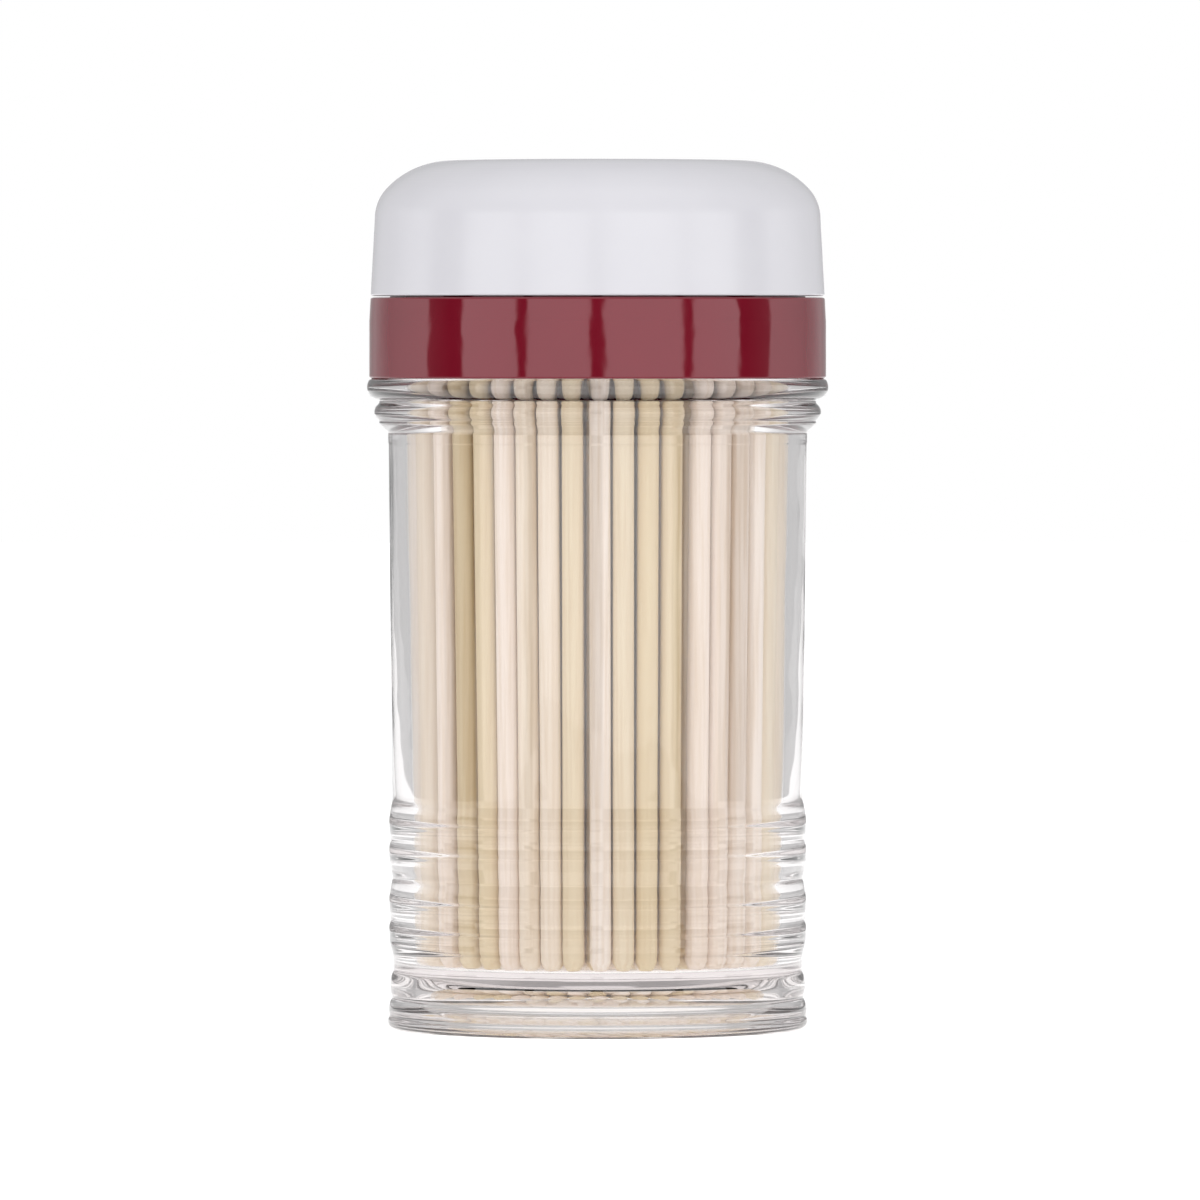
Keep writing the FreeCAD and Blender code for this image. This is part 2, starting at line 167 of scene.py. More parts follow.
# First height, last height and step of the outside's rows in millimetres, close over ribs and neck
ROW_STRETCHES = [(0.02, 25, 0.18), (25, 58.5, 1.5), (58.5, 66.6, 0.12)]

# Rounded edges, and where the flat discs under and over the floor have rows
DISC_RADII = [0, 6 * MM, 12 * MM]
RECESS_CORNER = 1.2 * MM
FOOT_INNER_EDGE = 0.3 * MM
FOOT_INNER_TOP = 0.45 * MM
FOOT_OUTER_EDGE = 0.25 * MM
SEAT_WIDTH = 1.55 * MM
SEAT_EDGE = 0.2 * MM
SEAT_FILLET = 0.25 * MM
RIM_ROUND = 0.35 * MM
FLOOR_ROUND = 0.5 * MM
WALL_BELOW_RIM = 2 * MM
WALL_ABOVE_FLOOR = 0.7 * MM
WALL_ROWS = 24


def jar_outside():
    """(radius, height) points up the outside: the drafted wall, ribs and beads melted into one curve."""
    height = np.concatenate([np.arange(*stretch) for stretch in ROW_STRETCHES]) * MM
    wall = JAR_FOOT_RADIUS + (JAR_SHOULDER_RADIUS - JAR_FOOT_RADIUS) * height / SHOULDER_HEIGHT
    curves = [wall]
    for bead_height, crest, round_radius in FOOT_BEADS + RIBS:
        curves.append(bead(height, crest * MM, round_radius * MM, bead_height * MM))
    lower = soft_highest(curves, BLEND)
    flare = np.clip(height - SHOULDER_HEIGHT, 0, NECK_ROOT_RADIUS - JAR_SHOULDER_RADIUS)
    shoulder = JAR_SHOULDER_RADIUS + soft_highest([flare, 0 * flare], SHOULDER_BLEND)
    curves = [lower, np.where(height > SHOULDER_HEIGHT - SHOULDER_LEAD, shoulder, 0)]
    for bead_height, crest, round_radius in NECK_BEADS:
        curves.append(bead(height, crest * MM, round_radius * MM, bead_height * MM))
    radius = soft_highest(curves, BLEND)
    return np.stack([radius, height], 1)


def jar_section():
    """The jar's whole section, from the middle of the recess round the foot, over the rim, to the floor."""
    outside = jar_outside()
    recess_centre = (RECESS_ROOT_RADIUS - RECESS_CORNER, RECESS_HEIGHT - RECESS_CORNER)
    foot_centre = (RECESS_MOUTH_RADIUS + FOOT_INNER_EDGE, FOOT_INNER_EDGE)
    seat_centre = (NECK_RADIUS + SEAT_WIDTH, SEAT_HEIGHT - SEAT_EDGE)
    inner_rim = CAVITY_RIM_RADIUS + RIM_ROUND
    depth = np.linspace(RIM_HEIGHT - WALL_BELOW_RIM, FLOOR_HEIGHT + WALL_ABOVE_FLOOR, WALL_ROWS)
    share = (depth - FLOOR_HEIGHT) / (RIM_HEIGHT - FLOOR_HEIGHT)
    wall = CAVITY_FLOOR_RADIUS + (CAVITY_RIM_RADIUS - CAVITY_FLOOR_RADIUS) * share
    return np.concatenate([
        [[radius, RECESS_HEIGHT] for radius in DISC_RADII],
        quarter(recess_centre, RECESS_CORNER, 90, 20, 8),
        [[RECESS_MOUTH_RADIUS - FOOT_INNER_EDGE, FOOT_INNER_TOP]],
        quarter(foot_centre, FOOT_INNER_EDGE, 180, 270, 6),
        [[outside[0, 0] - FOOT_OUTER_EDGE, 0]],
        outside,
        quarter(seat_centre, SEAT_EDGE, 20, 90, 4),
        [[NECK_RADIUS + SEAT_FILLET, SEAT_HEIGHT], [NECK_RADIUS, SEAT_HEIGHT + SEAT_EDGE]],
        quarter((NECK_RADIUS - RIM_ROUND, RIM_HEIGHT - RIM_ROUND), RIM_ROUND, 0, 90, 6),
        quarter((inner_rim, RIM_HEIGHT - RIM_ROUND), RIM_ROUND, 90, 180, 6),
        np.stack([wall, depth], 1),
        quarter((CAVITY_FLOOR_RADIUS - FLOOR_ROUND, FLOOR_HEIGHT + FLOOR_ROUND), FLOOR_ROUND, 0, -90, 8),
        [[radius, FLOOR_HEIGHT] for radius in DISC_RADII[::-1]],
    ])


jar = to_mesh("clear_jar", *ring_stack(braced(concentric(jar_section()), BRACE), JAR_STEPS))


def linear(hex_colour):
    """A hex colour as the eye sees it on a screen, turned to the linear values that light is reckoned in."""
    parts = [int(hex_colour[i:i + 2], 16) / 255 for i in (1, 3, 5)]
    light = [part / 12.92 if part <= 0.04045 else ((part + 0.055) / 1.055) ** 2.4 for part in parts]
    return (*light, 1)


def new_material(name):
    """An empty node material and its tree."""
    material = bpy.data.materials.new(name)
    material.use_nodes = True
    material.node_tree.nodes.clear()
    return material, material.node_tree


def add(tree, kind, inputs=None, **settings):
    """Adds a node. Each input is a value for that socket, or a node or one of its outputs to link."""
    node = tree.nodes.new(kind)
    for key, value in settings.items():
        setattr(node, key, value)
    for key, value in (inputs or {}).items():
        if isinstance(value, bpy.types.Node):
            tree.links.new(value.outputs[0], node.inputs[key])
        elif isinstance(value, bpy.types.NodeSocket):
            tree.links.new(value, node.inputs[key])
        else:
            node.inputs[key].default_value = value
    return node


# Clear polystyrene off a polished steel mould: glass-clear and colourless, with a higher index than
# glass, so its edges and ribs sparkle. Slow ripples in the wall bend what is behind, and so do sharp
# lines along the four upper ribs and once below them. The plastic greys only where it is seen endways,
# as in the floor. Light for the picks passes straight through, with no caustics to trace.
RIPPLES_PER_METRE = 90.0
LINES = [8.5, 10.0, 13.0, 18.0, 21.0]
LINE_WIDTH = 0.55 * MM
LINE_HEIGHT = 0.2 * MM
RIPPLE_HEIGHT = 0.06 * MM

jar_material, tree = new_material("clear_moulded_polystyrene")
place = add(tree, "ShaderNodeTexCoord")
ripple = add(tree, "ShaderNodeTexNoise", {
    "Vector": place.outputs["Object"],
    "Scale": RIPPLES_PER_METRE,
    "Detail": 1.0,
})
relief = add(tree, "ShaderNodeMath", {0: ripple, 1: RIPPLE_HEIGHT}, operation="MULTIPLY")
split = add(tree, "ShaderNodeSeparateXYZ", {"Vector": place.outputs["Object"]})
for line_height in LINES:
    off = add(tree, "ShaderNodeMath", {0: split.outputs["Z"], 1: line_height * MM}, operation="SUBTRACT")
    off = add(tree, "ShaderNodeMath", {0: off, 1: LINE_WIDTH}, operation="DIVIDE")
    square = add(tree, "ShaderNodeMath", {0: off, 1: off}, operation="MULTIPLY")
    fall = add(tree, "ShaderNodeMath", {0: 1 / math.e, 1: square}, operation="POWER")
    relief = add(tree, "ShaderNodeMath", {0: fall, 1: LINE_HEIGHT, 2: relief}, operation="MULTIPLY_ADD")
bump = add(tree, "ShaderNodeBump", {"Height": relief, "Strength": 1.0, "Distance": 1.0})
haze = add(tree, "ShaderNodeMapRange", {"Value": ripple, "To Min": 0.0, "To Max": 0.03})
clear = add(tree, "ShaderNodeBsdfPrincipled", {
    "Base Color": linear("#fbfafa"),
    "Roughness": haze,
    "IOR": 1.59,
    "Transmission Weight": 1.0,
    "Normal": bump,
})
path = add(tree, "ShaderNodeLightPath")
is_soft = add(tree, "ShaderNodeMath", {0: path.outputs["Is Shadow Ray"], 1: path.outputs["Is Diffuse Ray"]},
              operation="MAXIMUM")
through = add(tree, "ShaderNodeBsdfTransparent", {"Color": linear("#f8f6f5")})
mixed = add(tree, "ShaderNodeMixShader", {0: is_soft, 1: clear, 2: through})
tint = add(tree, "ShaderNodeVolumeAbsorption", {"Color": linear("#906060"), "Density": 10.0})
add(tree, "ShaderNodeOutputMaterial", {"Surface": mixed, "Volume": tint})
jar.data.materials.append(jar_material)
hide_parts("jar")
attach(jar, "jar_body")


# Picks. The real ones are turned birch rods, sorted to one length and poured in on end. They fill the
# jar in rough rings and lean a little, each as the CAD solids stand, from the same seeded draw.

PICK_RADIUS = 1.05 * MM
PICK_LENGTH = 65.0 * MM
PICK_POINT_LENGTH = 7.0 * MM
PICK_POINT_RADIUS = 0.25 * MM
PICK_BUTT_LENGTH = 1.6 * MM
PICK_BUTT_RADIUS = 0.6 * MM
PICK_PLAY = 0.1 * MM
PICK_RING_GAP = 0.05 * MM
PICK_RINGS = 8
RING_FILL = 0.9
UNEVEN = 2.5
LEAN_SHARE = 0.22
CLOSEST = 1.01
SEED = 11
PICK_STEPS = 16


def uneven_turns(shares, least, start):
    """Angles round a ring that keep a least spacing and give out the spare angle by shares."""
    spare = 2 * math.pi - least * len(shares)
    gaps = least + spare * np.array(shares[:-1]) / sum(shares)
    return start + np.concatenate([[0], np.cumsum(gaps)])


def ring_of_picks(radius, count, splay, chooser):
    """Feet and directions of one ring's picks, as two arrays of points."""
    least = 2 * math.asin(PICK_RADIUS * CLOSEST / radius)
    feet = [chooser.random() ** UNEVEN for _ in range(count)]
    tops = [(1 - LEAN_SHARE) * foot + LEAN_SHARE * chooser.random() ** UNEVEN for foot in feet]
    start = chooser.random() * 2 * math.pi
    low = uneven_turns(feet, least, start)
    high = uneven_turns(tops, least, start)
    high = high - (high - low).mean()
    foot = radius * np.stack([np.cos(low), np.sin(low), 0 * low], 1)
    far = (radius + splay) * np.stack([np.cos(high), np.sin(high), 0 * high], 1)
    lean = np.linalg.norm(far - foot, axis=1) / PICK_LENGTH
    foot[:, 2] = FLOOR_HEIGHT + PICK_BUTT_RADIUS * lean
    along = far - foot
    along[:, 2] = PICK_LENGTH
    return foot, along / np.linalg.norm(along, axis=1, keepdims=True)


def picks_surface(foot, along):
    """Points and faces of round rods: at each of a few stations along the axis, a circle of its radius."""
    station = np.array([0, 0, PICK_BUTT_LENGTH, PICK_LENGTH - PICK_POINT_LENGTH, PICK_LENGTH, PICK_LENGTH])
    radius = np.array([0, PICK_BUTT_RADIUS, PICK_RADIUS, PICK_RADIUS, PICK_POINT_RADIUS, 0])
    side = np.cross(along, np.array([0.0, 1.0, 0.0]))
    side /= np.linalg.norm(side, axis=1, keepdims=True)
    other = np.cross(along, side)
    turn = np.arange(PICK_STEPS) * 2 * math.pi / PICK_STEPS
    rounds = np.cos(turn)[None, :, None] * side[:, None, :] + np.sin(turn)[None, :, None] * other[:, None, :]
    middle = foot[:, None, :] + station[None, 1:-1, None] * along[:, None, :]
    body = middle[:, :, None, :] + radius[None, 1:-1, None, None] * rounds[:, None, :, :]
    count, rows = len(foot), len(station) - 2
    body = body.reshape(count, rows * PICK_STEPS, 3)
    ends = np.stack([foot, foot + PICK_LENGTH * along], 1)
    points = np.concatenate([body, ends], 1)
    column = np.arange(PICK_STEPS)
    following = (column + 1) % PICK_STEPS
    quads = []
    for row in range(rows - 1):
        a, b = row * PICK_STEPS, (row + 1) * PICK_STEPS
        quads.append(np.stack([a + column, a + following, b + following, b + column], 1))
    quads = np.concatenate(quads)
    last = rows * PICK_STEPS
    top = (rows - 1) * PICK_STEPS
    corners = np.concatenate([
        np.stack([following, column, np.full(PICK_STEPS, last)], 1),
        np.stack([top + column, top + following, np.full(PICK_STEPS, last + 1)], 1),
    ])
    shift = (np.arange(count) * points.shape[1])[:, None, None]
    faces = [(group[None] + shift).reshape(-1, group.shape[1]) for group in (quads, corners)]
    return points.reshape(-1, 3), faces


# Sanded birch with no finish: dry, pale and slightly pink or straw, with fine brown fibre lines along
# the rod and a tone of its own for each pick.
FIBRES_PER_METRE = 2600.0
FIBRE_STRETCH = 0.02
GRAIN_DEPTH = 0.05 * MM

wood, tree = new_material("bare_turned_birch")
place = add(tree, "ShaderNodeTexCoord")
tone = add(tree, "ShaderNodeAttribute", attribute_name="pick_tone")
shifted = add(tree, "ShaderNodeVectorMath", {
    0: place.outputs["Object"],
    1: tone.outputs["Vector"],
}, operation="ADD")
fibre_place = add(tree, "ShaderNodeMapping", {
    "Vector": shifted.outputs["Vector"],
    "Scale": (1.0, 1.0, FIBRE_STRETCH),
})
fibre = add(tree, "ShaderNodeTexNoise", {
    "Vector": fibre_place.outputs["Vector"],
    "Scale": FIBRES_PER_METRE,
    "Detail": 3.0,
})
choice = add(tree, "ShaderNodeSeparateXYZ", {"Vector": tone.outputs["Vector"]})
pale = add(tree, "ShaderNodeValToRGB", {"Fac": choice.outputs["X"]})
pale.color_ramp.elements[0].color = linear("#dccaa2")
pale.color_ramp.elements[1].color = linear("#f0e8de")
pale.color_ramp.elements.new(0.2).color = linear("#e6dac2")
pale.color_ramp.elements.new(0.6).color = linear("#ecdfd2")
line = add(tree, "ShaderNodeMapRange", {"Value": fibre.outputs["Fac"], "From Min": 0.42, "From Max": 0.68,
                                        "To Min": 0.0, "To Max": 0.3})
colour = add(tree, "ShaderNodeMix", {"Factor": line.outputs["Result"], "A": pale.outputs["Color"],
                                     "B": linear("#c8ab7e")}, data_type="RGBA")
grain = add(tree, "ShaderNodeBump", {
    "Height": fibre.outputs["Fac"],
    "Strength": 0.2,
    "Distance": GRAIN_DEPTH,
})
shader = add(tree, "ShaderNodeBsdfPrincipled", {
    "Base Color": colour.outputs["Result"],
    "Roughness": 0.7,
    "Normal": grain.outputs["Normal"],
})
add(tree, "ShaderNodeOutputMaterial", {"Surface": shader.outputs["BSDF"]})


def picks_piece(name, node, foot, along, tones):
    """One piece of one or more picks that stands for a CAD node, with each pick's own tone and offset."""
    points, faces = picks_surface(foot, along)
    piece = to_mesh(name, points, faces)
    each = len(points) // len(foot)
    shades = piece.data.attributes.new("pick_tone", "FLOAT_VECTOR", "POINT")
    shades.data.foreach_set("vector", np.repeat(tones, each, axis=0).ravel())
    piece.data.materials.append(wood)
    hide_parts(node)
    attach(piece, "jar_body")


chooser = random.Random(SEED)
shade_chooser = np.random.default_rng(SEED)
splay = (CAVITY_RIM_RADIUS - CAVITY_FLOOR_RADIUS) * PICK_LENGTH / (RIM_HEIGHT - FLOOR_HEIGHT)
outer_ring = CAVITY_FLOOR_RADIUS - PICK_RADIUS - PICK_PLAY
for ring in range(PICK_RINGS):
    radius = outer_ring - ring * (2 * PICK_RADIUS + PICK_RING_GAP)
    count = int(2 * math.pi * radius / (2 * PICK_RADIUS * CLOSEST) * RING_FILL)
    foot, along = ring_of_picks(radius, count, splay * radius / outer_ring, chooser)
    tones = shade_chooser.random((count, 3))
    if ring == 0:
        for number in range(count):
            one = slice(number, number + 1)
            name = f"pick_{number + 1:02d}"
            picks_piece(f"birch_{name}", name, foot[one], along[one], tones[one])
    else:
        name = f"picks_ring_{ring + 1}"
        picks_piece(f"birch_{name}", name, foot, along, tones)


# Collar. The real one is moulded in glossy maroon polystyrene. Its skirt pushes on over the jar's neck,
# and its deck carries the one hole, the locating ring, the split snap post and the two stop pins.

COLLAR_RADIUS = 23.42 * MM
COLLAR_TAPER = 0.12 * MM
COLLAR_TAPER_HEIGHT = 2.4 * MM
TAPER_EASE = 0.02 * MM
TAPER_EASE_HEIGHT = 0.3 * MM
PUSH_FIT = 0.1 * MM
HEADROOM = 0.3 * MM
DECK_THICKNESS = 1.7 * MM
SKIRT_INSIDE = NECK_RADIUS + PUSH_FIT
DECK_UNDER = RIM_HEIGHT + HEADROOM
DECK_TOP = DECK_UNDER + DECK_THICKNESS
RING_OUT = 21.3 * MM
RING_IN = 20.1 * MM
RING_RISE = 1.9 * MM
RING_TOP = DECK_TOP + RING_RISE
HOLE_RADIUS = 1.8 * MM
HOLE_DISTANCE = 13.0 * MM
COLLAR_EDGE = 0.2 * MM
POST_RADIUS = 2.0 * MM
POST_HEAD_RADIUS = 2.5 * MM
POST_LEAD_RADIUS = 1.5 * MM
POST_RISE = 4.3 * MM
HEAD_RISE = 2.4 * MM
HEAD_UNDER = DECK_TOP + POST_RISE
HEAD_TOP = HEAD_UNDER + HEAD_RISE
HEAD_LAND = 1.0 * MM
SLOT_HALF = 0.45 * MM
STOP_RADIUS = 1.0 * MM
STOP_RISE = 1.6 * MM
STOP_GAP = 0.1 * MM
CHUTE_WALL = 1.1 * MM
CHUTE_RADIUS = HOLE_RADIUS + CHUTE_WALL
ROOTED = 0.2 * MM
SHELL_STEPS = 192
SMALL_STEPS = 48


def sliding(from_row, to_row, steps):
    """Rows that pass evenly from one circle to another, centre, radius and height."""
    share = np.linspace(0, 1, steps + 2)[1:-1, None]
    return [tuple(row) for row in (1 - share) * np.array(from_row) + share * np.array(to_row)]


hole_under = (HOLE_DISTANCE, 0, HOLE_RADIUS, DECK_UNDER)
hole_over = (HOLE_DISTANCE, 0, HOLE_RADIUS, DECK_TOP)
collar_profile = np.concatenate([
    [[RING_IN, DECK_TOP], [RING_IN, RING_TOP - COLLAR_EDGE]],
    quarter((RING_IN + COLLAR_EDGE, RING_TOP - COLLAR_EDGE), COLLAR_EDGE, 180, 90, 4),
    quarter((RING_OUT - COLLAR_EDGE, RING_TOP - COLLAR_EDGE), COLLAR_EDGE, 90, 0, 4),
    [[RING_OUT, DECK_TOP]],
    quarter((COLLAR_RADIUS - COLLAR_TAPER - COLLAR_EDGE, DECK_TOP - COLLAR_EDGE), COLLAR_EDGE, 90, 0, 6),
    [[COLLAR_RADIUS - TAPER_EASE, DECK_TOP - COLLAR_TAPER_HEIGHT + TAPER_EASE_HEIGHT],
     [COLLAR_RADIUS, DECK_TOP - COLLAR_TAPER_HEIGHT]],
    quarter((COLLAR_RADIUS - COLLAR_EDGE, SEAT_HEIGHT + COLLAR_EDGE), COLLAR_EDGE, 0, -90, 6),
    [[SKIRT_INSIDE + COLLAR_EDGE, SEAT_HEIGHT], [SKIRT_INSIDE, SEAT_HEIGHT + COLLAR_EDGE],
     [SKIRT_INSIDE, DECK_UNDER]],
])
rows = concentric(collar_profile)
rows = [hole_under, hole_over] + sliding(hole_over, rows[0], 3) + rows + sliding(rows[-1], hole_under, 3)
deck = ring_stack(braced(rows[::-1], BRACE, loop=True), SHELL_STEPS, loop=True)

post_profile = [
    (0, DECK_TOP - ROOTED), (POST_RADIUS, DECK_TOP - ROOTED), (POST_RADIUS, HEAD_UNDER),
    (POST_HEAD_RADIUS, HEAD_UNDER), (POST_HEAD_RADIUS, HEAD_UNDER + HEAD_LAND),
    (POST_LEAD_RADIUS, HEAD_TOP), (0, HEAD_TOP),
]
post, post_faces = ring_stack(braced(concentric(post_profile), BRACE), SMALL_STEPS)


def half_post(side):
    """One half of the split post: the whole post with the points past the slot's wall moved onto it."""
    half = post.copy()
    half[:, 0] = side * np.maximum(side * half[:, 0], SLOT_HALF)
    return half, post_faces


def stop_pin(angle):
    """A round pin rooted in the deck, as far from the axis as the hole."""
    x, y = HOLE_DISTANCE * math.cos(angle), HOLE_DISTANCE * math.sin(angle)
    top = DECK_TOP + STOP_RISE
    foot = DECK_TOP - ROOTED
    pin = [(x, y, 0, foot), (x, y, STOP_RADIUS, foot), (x, y, STOP_RADIUS, top), (x, y, 0, top)]
    return ring_stack(braced(pin, BRACE), SMALL_STEPS)


swing = 2 * math.asin((CHUTE_RADIUS + STOP_RADIUS + STOP_GAP) / (2 * HOLE_DISTANCE))
stops = [stop_pin(-math.pi / 2 - swing), stop_pin(swing)]
collar = to_mesh("maroon_collar", *joined(deck, half_post(1), half_post(-1), *stops))

# Moulded high-gloss plastic, dyed through: deep maroon that mirrors the soft lights around it, with the
# faint waviness of a thin moulding.
DYE_CLOUDS_PER_METRE = 160.0
COLLAR_WAVES_PER_METRE = 220.0
WAVE_DEPTH = 0.3 * MM

maroon, tree = new_material("maroon_gloss_polystyrene")
place = add(tree, "ShaderNodeTexCoord")
flow = add(tree, "ShaderNodeTexNoise", {"Vector": place.outputs["Object"], "Scale": DYE_CLOUDS_PER_METRE,
                                         "Detail": 2.0})
dye = add(tree, "ShaderNodeMix", {"Factor": flow.outputs["Fac"], "A": linear("#68101f"),
                                  "B": linear("#701424")}, data_type="RGBA")
ripple = add(tree, "ShaderNodeTexNoise", {"Vector": place.outputs["Object"], "Scale": COLLAR_WAVES_PER_METRE,
                                           "Detail": 2.0})
bump = add(tree, "ShaderNodeBump", {"Height": ripple.outputs["Fac"], "Strength": 0.2, "Distance": WAVE_DEPTH})
shine = add(tree, "ShaderNodeMapRange", {"Value": flow.outputs["Fac"], "To Min": 0.05, "To Max": 0.1})
shader = add(tree, "ShaderNodeBsdfPrincipled", {
    "Base Color": dye.outputs["Result"],
    "Roughness": shine.outputs["Result"],
    "IOR": 1.62,
    "Specular Tint": linear("#ffe0e4"),
    "Normal": bump.outputs["Normal"],
})
add(tree, "ShaderNodeOutputMaterial", {"Surface": shader.outputs["BSDF"]})
collar.data.materials.append(maroon)
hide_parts("collar")
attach(collar, "collar_body")


# Cap. The real one is a white gloss polystyrene dome with one bevelled hole near the front of its flat
# top. Its chute runs down to the deck, and its socket snaps over the collar's post.

SEAM_GAP = 0.15 * MM
CAP_HEIGHT = 13.85 * MM
CAP_RIM = DECK_TOP + SEAM_GAP
CAP_TOP = CAP_RIM + CAP_HEIGHT
CAP_RADIUS = 23.25 * MM
CAP_DRAFT = math.radians(3.0)
CAP_FLAT_RADIUS = 15.1 * MM
CAP_SIDE_RADIUS = 4.5 * MM
CAP_WALL = 1.4 * MM
MOUTH_BEVEL = 0.4 * MM
RUNNING_GAP = 0.3 * MM
SOCKET_WALL = 1.2 * MM


def dome_profile(rim_radius, top, side_radius, steps):
    """(radius, height) points of the dome's corner, from the edge of the flat down to the drafted side.

    It is two arcs that touch each other: one that touches the flat and one that touches the side.
    """
    shrink = math.tan(CAP_DRAFT) * (CORNER_HEIGHT - CAP_RIM)
    side_centre = (rim_radius - shrink - side_radius, CORNER_HEIGHT)
    across = side_centre[0] - CAP_FLAT_RADIUS
    drop = top - CORNER_HEIGHT
    over = (across**2 + drop**2 - side_radius**2) / (2 * (drop - side_radius))
    over_centre = (CAP_FLAT_RADIUS, top - over)
    meet = math.degrees(math.atan2(side_centre[1] - over_centre[1], across))
    return np.concatenate([
        quarter(over_centre, over, 90, meet, steps),
        quarter(side_centre, side_radius, meet, 0, steps)[1:],
    ])


RIM_EDGE = 0.25 * MM
CORNER_HEIGHT = CAP_TOP - CAP_SIDE_RADIUS - CAP_WALL
outside = dome_profile(CAP_RADIUS, CAP_TOP, CAP_SIDE_RADIUS, 16)
inside = dome_profile(CAP_RADIUS - CAP_WALL, CAP_TOP - CAP_WALL, CAP_SIDE_RADIUS - CAP_WALL, 8)
rim_points = np.concatenate([
    quarter((CAP_RADIUS - RIM_EDGE, CAP_RIM + RIM_EDGE), RIM_EDGE, 0, -90, 6),
    [[CAP_RADIUS - CAP_WALL + RIM_EDGE, CAP_RIM], [CAP_RADIUS - CAP_WALL, CAP_RIM + RIM_EDGE]],
])
mouth_over = (0, -HOLE_DISTANCE, HOLE_RADIUS + MOUTH_BEVEL, CAP_TOP)
mouth_bevel = (0, -HOLE_DISTANCE, HOLE_RADIUS, CAP_TOP - MOUTH_BEVEL)
mouth_under = (0, -HOLE_DISTANCE, HOLE_RADIUS, CAP_TOP - CAP_WALL)
shell = concentric(np.concatenate([outside, rim_points, inside[::-1]]))
rows = [mouth_under, mouth_bevel, mouth_over] + sliding(mouth_over, shell[0], 6) + shell
rows += sliding(shell[-1], mouth_under, 3)
dome = ring_stack(braced(rows[::-1], BRACE, loop=True), SHELL_STEPS, loop=True)

INNER_FOOT = DECK_TOP + RUNNING_GAP
ROOF_ROOT = CAP_TOP - CAP_WALL + ROOTED
throat = POST_RADIUS + RUNNING_GAP
pocket = POST_HEAD_RADIUS + RUNNING_GAP
socket_profile = [
    (0, HEAD_TOP + RUNNING_GAP), (pocket, HEAD_TOP + RUNNING_GAP), (pocket, HEAD_UNDER - RUNNING_GAP),
    (throat, HEAD_UNDER - RUNNING_GAP), (throat, INNER_FOOT), (pocket + SOCKET_WALL, INNER_FOOT),
    (pocket + SOCKET_WALL, ROOF_ROOT), (0, ROOF_ROOT),
]
socket = ring_stack(braced(concentric(socket_profile), BRACE), SMALL_STEPS)
chute_rows = [
    (0, -HOLE_DISTANCE, HOLE_RADIUS, INNER_FOOT), (0, -HOLE_DISTANCE, CHUTE_RADIUS, INNER_FOOT),
    (0, -HOLE_DISTANCE, CHUTE_RADIUS, ROOF_ROOT), (0, -HOLE_DISTANCE, HOLE_RADIUS, ROOF_ROOT),
]
chute = ring_stack(braced(chute_rows, BRACE, loop=True), SMALL_STEPS, loop=True)
cap = to_mesh("white_cap", *joined(dome, socket, chute))

# The same gloss plastic filled with white: bright, faintly cool, with soft wide reflections and a little
# unevenness in its white.
FILLER_CLOUDS_PER_METRE = 140.0
CAP_WAVES_PER_METRE = 80.0

white, tree = new_material("white_gloss_polystyrene")
place = add(tree, "ShaderNodeTexCoord")
flow = add(tree, "ShaderNodeTexNoise", {"Vector": place.outputs["Object"], "Scale": FILLER_CLOUDS_PER_METRE,
                                         "Detail": 8.0})
tint = add(tree, "ShaderNodeMix", {"Factor": flow.outputs["Fac"], "A": linear("#cbcad0"),
                                   "B": linear("#d1d0d5")}, data_type="RGBA")
ripple = add(tree, "ShaderNodeTexNoise", {"Vector": place.outputs["Object"], "Scale": CAP_WAVES_PER_METRE,
                                           "Detail": 1.0})
bump = add(tree, "ShaderNodeBump", {
    "Height": ripple.outputs["Fac"],
    "Strength": 0.04,
    "Distance": WAVE_DEPTH,
})
shine = add(tree, "ShaderNodeMapRange", {"Value": flow.outputs["Fac"], "To Min": 0.2, "To Max": 0.27})
shader = add(tree, "ShaderNodeBsdfPrincipled", {
    "Base Color": tint.outputs["Result"],
    "Roughness": shine.outputs["Result"],
    "IOR": 1.55,
    "Normal": bump.outputs["Normal"],
})
add(tree, "ShaderNodeOutputMaterial", {"Surface": shader.outputs["BSDF"]})
cap.data.materials.append(white)
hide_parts("cap")
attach(cap, "cap_body")


# Stage: a small white table in front of a white card. The camera stands between soft boxes with narrow
# dark gaps, which the gloss plastic mirrors. All but the table is drawn as the world's light.

TABLE_FRONT = -0.4
TABLE_BACK = 3.0
TABLE_HALF = 0.25
table_points = np.array([
    [-TABLE_HALF, TABLE_FRONT, 0], [TABLE_HALF, TABLE_FRONT, 0],
    [TABLE_HALF, TABLE_BACK, 0], [-TABLE_HALF, TABLE_BACK, 0],
])
floor = to_mesh("white_table", table_points, [np.array([[0, 1, 2, 3]])])
table, tree = new_material("white_table_top")
shader = add(tree, "ShaderNodeBsdfPrincipled", {
    "Base Color": linear("#a8a8a8"),
    "Roughness": 0.9,
    "Specular IOR Level": 0.0,
    "Emission Color": linear("#ffffff"),
    "Emission Strength": 0.85,
})
add(tree, "ShaderNodeOutputMaterial", {"Surface": shader.outputs["BSDF"]})
floor.data.materials.append(table)

# The gaps are seen from the object, in degrees from the camera's side. The other angles are degrees
# above the table or away from straight behind. Light levels are shares of the white card's.
GAPS = [(-95, -72), (-41, -36), (-4, 3), (44, 49), (76, 97)]
GAP_SOFTNESS = 0.8
BOX_TOP = 12
BOX_EDGE = 2
CEILING_START = 20
CEILING_END = 60
CARD_HALF = 6.5
SHADE_START = 8.5
SHADE_END = 21
SIDE_START = 27
BACK_HALF = 50
FRONT_START = 100
BOX_LIGHT = 2.0
GAP_LIGHT = 0.0
UNDER_LIGHT = 0.9
CEILING_LIGHT = 0.7
ZENITH_LIGHT = 1.4
SHADE_LIGHT = 0.45
SIDE_LIGHT = 0.6

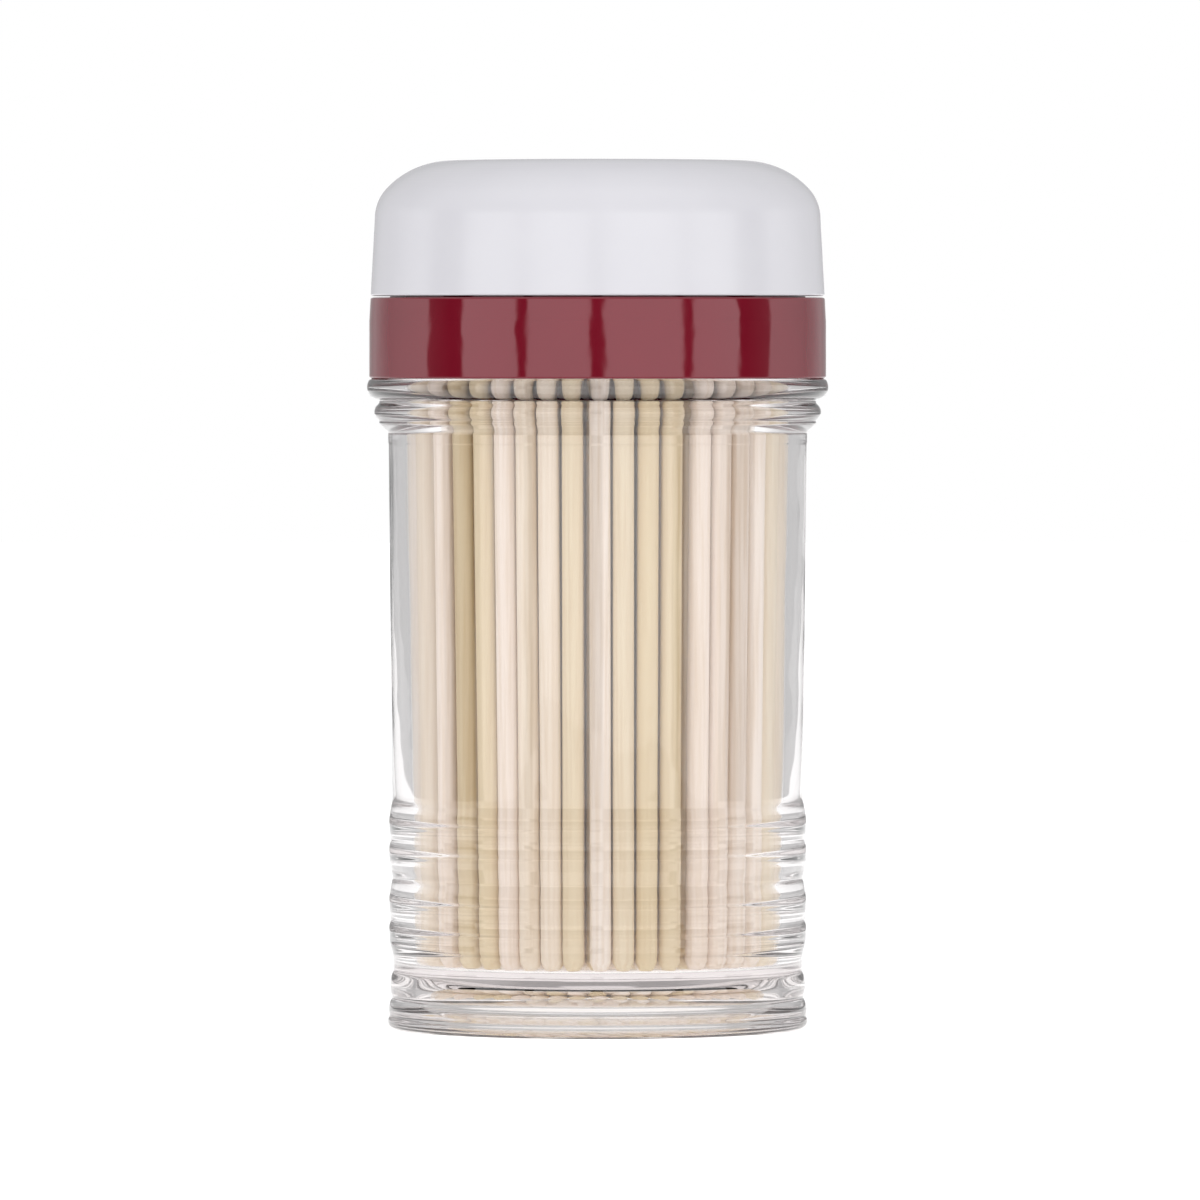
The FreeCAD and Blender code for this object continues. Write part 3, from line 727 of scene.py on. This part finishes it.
world = bpy.data.worlds.new("soft_boxes")
bpy.context.scene.world = world
world.use_nodes = True
tree = world.node_tree
tree.nodes.clear()

where = add(tree, "ShaderNodeTexCoord")
parts = add(tree, "ShaderNodeSeparateXYZ", {"Vector": where.outputs["Generated"]})
behind = add(tree, "ShaderNodeMath", {0: parts.outputs["Y"], 1: -1.0}, operation="MULTIPLY")
azimuth = add(tree, "ShaderNodeMath", {0: parts.outputs["X"], 1: behind}, operation="ARCTAN2")
azimuth = add(tree, "ShaderNodeMath", {0: azimuth}, operation="DEGREES")
rise = add(tree, "ShaderNodeMath", {0: parts.outputs["Z"]}, operation="ARCSINE")
rise = add(tree, "ShaderNodeMath", {0: rise}, operation="DEGREES")
off_card = add(tree, "ShaderNodeMath", {0: parts.outputs["Y"]}, operation="ARCCOSINE")
off_card = add(tree, "ShaderNodeMath", {0: off_card}, operation="DEGREES")


def ramp(value, start, end, at_start, at_end):
    """Input values of a map range that runs from one level to another between two angles."""
    return {"Value": value, "From Min": start, "From Max": end, "To Min": at_start, "To Max": at_end}


in_gaps = 0.0
for start, end in GAPS:
    off = add(tree, "ShaderNodeMath", {0: azimuth, 1: (start + end) / 2}, operation="SUBTRACT")
    off = add(tree, "ShaderNodeMath", {0: off}, operation="ABSOLUTE")
    half = (end - start) / 2
    gap = add(tree, "ShaderNodeMapRange", ramp(off, half - GAP_SOFTNESS, half + GAP_SOFTNESS, 1.0, 0.0))
    in_gaps = add(tree, "ShaderNodeMath", {0: in_gaps, 1: gap}, operation="ADD")
boxes = add(tree, "ShaderNodeMapRange", ramp(in_gaps, 0.0, 1.0, BOX_LIGHT, GAP_LIGHT))
ceiling = add(tree, "ShaderNodeMapRange", ramp(rise, CEILING_START, CEILING_END, CEILING_LIGHT, ZENITH_LIGHT))
over = add(tree, "ShaderNodeMapRange", ramp(rise, BOX_TOP, BOX_TOP + BOX_EDGE, 0.0, 1.0))
under = add(tree, "ShaderNodeMapRange", ramp(rise, -BOX_TOP - BOX_EDGE, -BOX_TOP, 1.0, 0.0))
front = add(tree, "ShaderNodeMix", {"Factor": over, "A": boxes, "B": ceiling})
front = add(tree, "ShaderNodeMix", {"Factor": under, "A": front, "B": UNDER_LIGHT})
card = add(tree, "ShaderNodeMapRange", ramp(off_card, CARD_HALF, SHADE_START, 1.0, SHADE_LIGHT))
side = add(tree, "ShaderNodeMapRange", ramp(off_card, SHADE_END, SIDE_START, SHADE_LIGHT, SIDE_LIGHT))
back = add(tree, "ShaderNodeMath", {0: card, 1: side}, operation="MAXIMUM")
is_back = add(tree, "ShaderNodeMapRange", ramp(off_card, BACK_HALF, FRONT_START, 1.0, 0.0))
light = add(tree, "ShaderNodeMix", {"Factor": is_back, "A": front, "B": back})
glow = add(tree, "ShaderNodeBackground", {"Color": linear("#ffffff"), "Strength": light})
add(tree, "ShaderNodeOutputWorld", {"Surface": glow.outputs["Background"]})

bpy.context.scene.view_settings.view_transform = "Standard"


# Camera: level with the collar and 1.28 m away, about where the photograph seems to be taken from.

CAMERA_DISTANCE = 1.28
CAMERA_HEIGHT = 0.071
AIM_HEIGHT = 0.0439
AIM_ACROSS = 0.00024
FRAME_WIDTH = 0.123
SENSOR_WIDTH = 36.0
NEAREST_SEEN = 0.05
camera_data = bpy.data.cameras.new("studio_camera")
camera_data.sensor_width = SENSOR_WIDTH
camera_data.lens = SENSOR_WIDTH * CAMERA_DISTANCE / FRAME_WIDTH
camera_data.clip_start = NEAREST_SEEN
camera = bpy.data.objects.new("studio_camera", camera_data)
camera.location = (AIM_ACROSS, -CAMERA_DISTANCE, CAMERA_HEIGHT)
tilt = math.atan2(CAMERA_HEIGHT - AIM_HEIGHT, CAMERA_DISTANCE)
camera.rotation_euler = (math.pi / 2 - tilt, 0, 0)
bpy.context.scene.collection.objects.link(camera)
bpy.context.scene.camera = camera

cycles = bpy.context.scene.cycles
cycles.max_bounces = 24
cycles.diffuse_bounces = 10
cycles.glossy_bounces = 12
cycles.transmission_bounces = 24
cycles.transparent_max_bounces = 16
